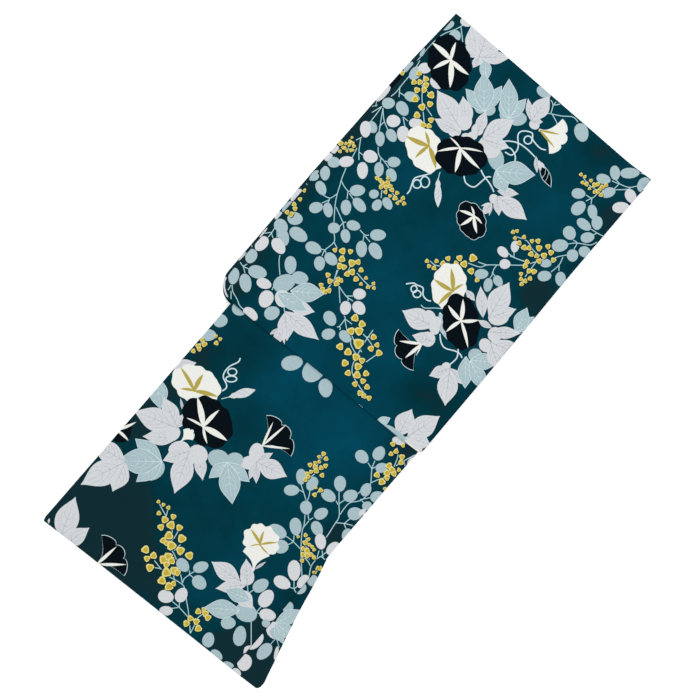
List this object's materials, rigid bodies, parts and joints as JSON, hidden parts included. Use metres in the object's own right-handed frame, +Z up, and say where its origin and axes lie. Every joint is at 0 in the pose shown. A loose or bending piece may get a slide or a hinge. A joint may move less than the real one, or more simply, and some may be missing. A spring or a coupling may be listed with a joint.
{
  "type": "folded cotton yukata robe",
  "caption": "Cotton summer kimono folded flat for storage: sleeve turned back on top, body folded in half below, soft layered edges.",
  "frame": {"origin": "middle of the footprint, on the surface the folded robe lies on", "axes": "+X across the strip to its side seam, +Y up the strip to the shoulder fold, +Z up"},
  "size_m": [0.3846, 0.8406, 0.0173],
  "materials": {
    "sleeve_left_cloth": "matt plain-weave cotton, deep teal ground with a flower-and-leaf print",
    "sleeve_right_cloth": "matt plain-weave cotton, deep teal ground with a flower-and-leaf print",
    "body_back_cloth": "matt plain-weave cotton, deep teal ground with a flower-and-leaf print",
    "body_front_cloth": "matt plain-weave cotton, deep teal ground with a flower-and-leaf print",
    "layer_cloth": "matt plain-weave cotton, edges of folded layers",
    "collar_cloth": "matt plain-weave cotton, doubled neck band"
  },
  "bodies": {
    "root": {"sleeve_left": "sleeve_left_cloth", "sleeve_right": "sleeve_right_cloth", "body_left_back": "body_back_cloth", "body_left_front": "body_front_cloth", "folded_layers": "layer_cloth", "collar": "collar_cloth"}
  },
  "joints": []
}
